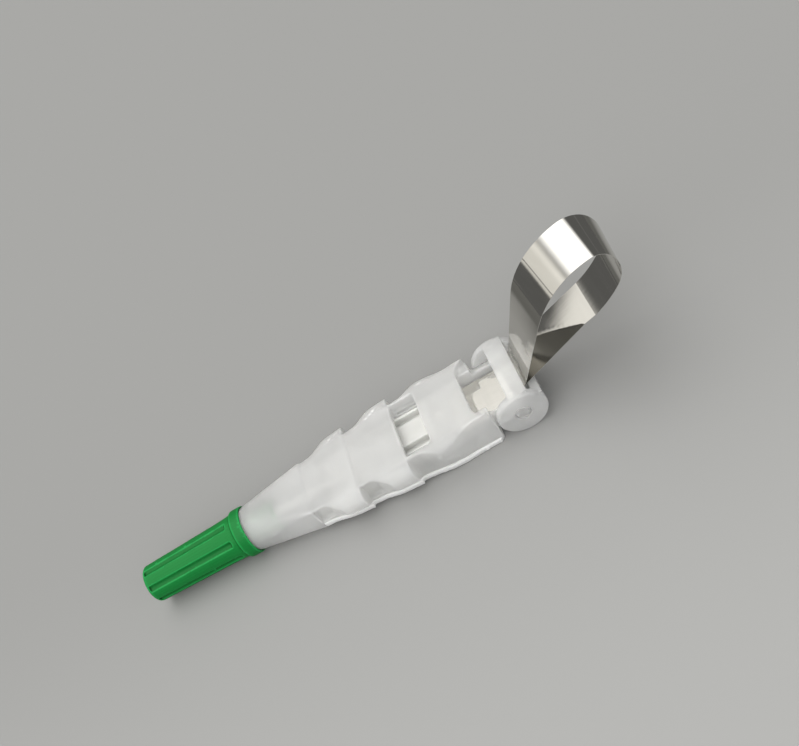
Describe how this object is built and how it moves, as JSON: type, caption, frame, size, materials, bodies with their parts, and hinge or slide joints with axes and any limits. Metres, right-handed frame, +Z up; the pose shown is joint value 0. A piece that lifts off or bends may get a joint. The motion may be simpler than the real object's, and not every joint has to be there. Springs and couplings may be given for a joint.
{
  "type": "matrix band retainer",
  "caption": "Disposable dental matrix band retainer: frosted handle with green adjusting knob, swivelling clear head and pre-formed steel band loop.",
  "frame": {"origin": "middle of the flat rest face under the front of the handle", "axes": "+X along the handle from the knob to the head, +Z up from the rest face to the window side"},
  "size_m": [0.0743, 0.0136, 0.0206],
  "materials": {
    "frosted_plastic": "satin, milky and translucent",
    "green_plastic": "satin",
    "white_plastic": "satin",
    "clear_plastic": "gloss, nearly clear",
    "band_steel": "polished"
  },
  "bodies": {
    "handle": {"handle_shell": "frosted_plastic", "handle_base": "frosted_plastic"},
    "knob": {"adjusting_knob": "green_plastic"},
    "carriage": {"slider": "white_plastic", "lead_screw": "white_plastic", "band_rivet": "band_steel", "band_tails": "band_steel"},
    "head": {"swivel_head": "clear_plastic", "band_loop": "band_steel"}
  },
  "joints": [
    {"name": "knob_turn", "type": "hinge", "parent": "handle", "child": "knob", "pos_m": [-0.0346, 0, 0.0034], "axis": [1, 0, 0], "range_deg": [0, 2880]},
    {"name": "slider_travel", "type": "slide", "parent": "handle", "child": "carriage", "axis": [-1, 0, 0], "range_m": [0, 0.008]},
    {"name": "head_swivel", "type": "hinge", "parent": "handle", "child": "head", "pos_m": [0.0063, 0, 0.0034], "axis": [0, -1, 0], "range_deg": [-125, 35]}
  ],
  "couplings": [
    {"joint": "knob_turn", "follows": "slider_travel", "rad_per_m": 6283.2}
  ]
}
